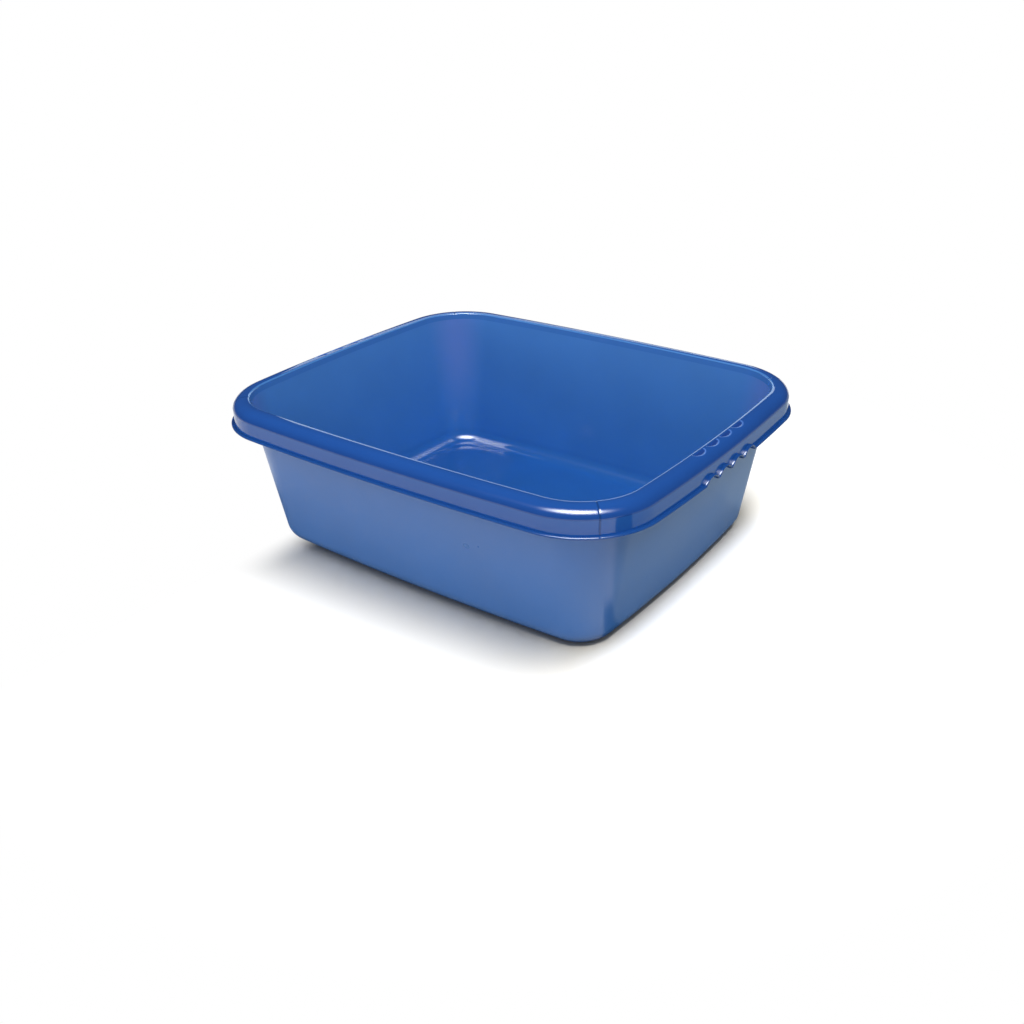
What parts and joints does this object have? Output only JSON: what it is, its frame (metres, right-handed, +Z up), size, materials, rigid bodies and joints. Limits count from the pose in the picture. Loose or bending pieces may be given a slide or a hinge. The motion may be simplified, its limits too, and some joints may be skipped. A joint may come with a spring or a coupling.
{
  "type": "washing-up basin",
  "caption": "Rectangular plastic washing-up basin with tapered walls, rounded corners, a rolled rim and an arched finger grip on each short side.",
  "frame": {"origin": "middle of the base, on the surface that the basin stands on", "axes": "+X along the long sides, towards the right-hand finger grip; +Y towards the back; +Z up, out of the basin's mouth"},
  "size_m": [0.38, 0.317, 0.1235],
  "materials": {
    "floor_plastic": "glossy moulded polypropylene, slightly translucent",
    "wall_plastic": "glossy moulded polypropylene, slightly translucent",
    "rim_plastic": "glossy moulded polypropylene",
    "skirt_plastic": "glossy moulded polypropylene",
    "web_plastic": "moulded polypropylene, hidden under the rim"
  },
  "bodies": {
    "root": {"floor_panel": "floor_plastic", "heel_ring": "wall_plastic", "side_wall": "wall_plastic", "rim_roll": "rim_plastic", "skirt_front": "skirt_plastic", "skirt_back": "skirt_plastic", "skirt_corner_front_left": "skirt_plastic", "skirt_corner_front_right": "skirt_plastic", "skirt_corner_back_left": "skirt_plastic", "skirt_corner_back_right": "skirt_plastic", "left_grip": "skirt_plastic", "right_grip": "skirt_plastic", "corner_web_front_left": "web_plastic", "corner_web_front_right": "web_plastic", "corner_web_back_left": "web_plastic", "corner_web_back_right": "web_plastic"}
  },
  "joints": []
}
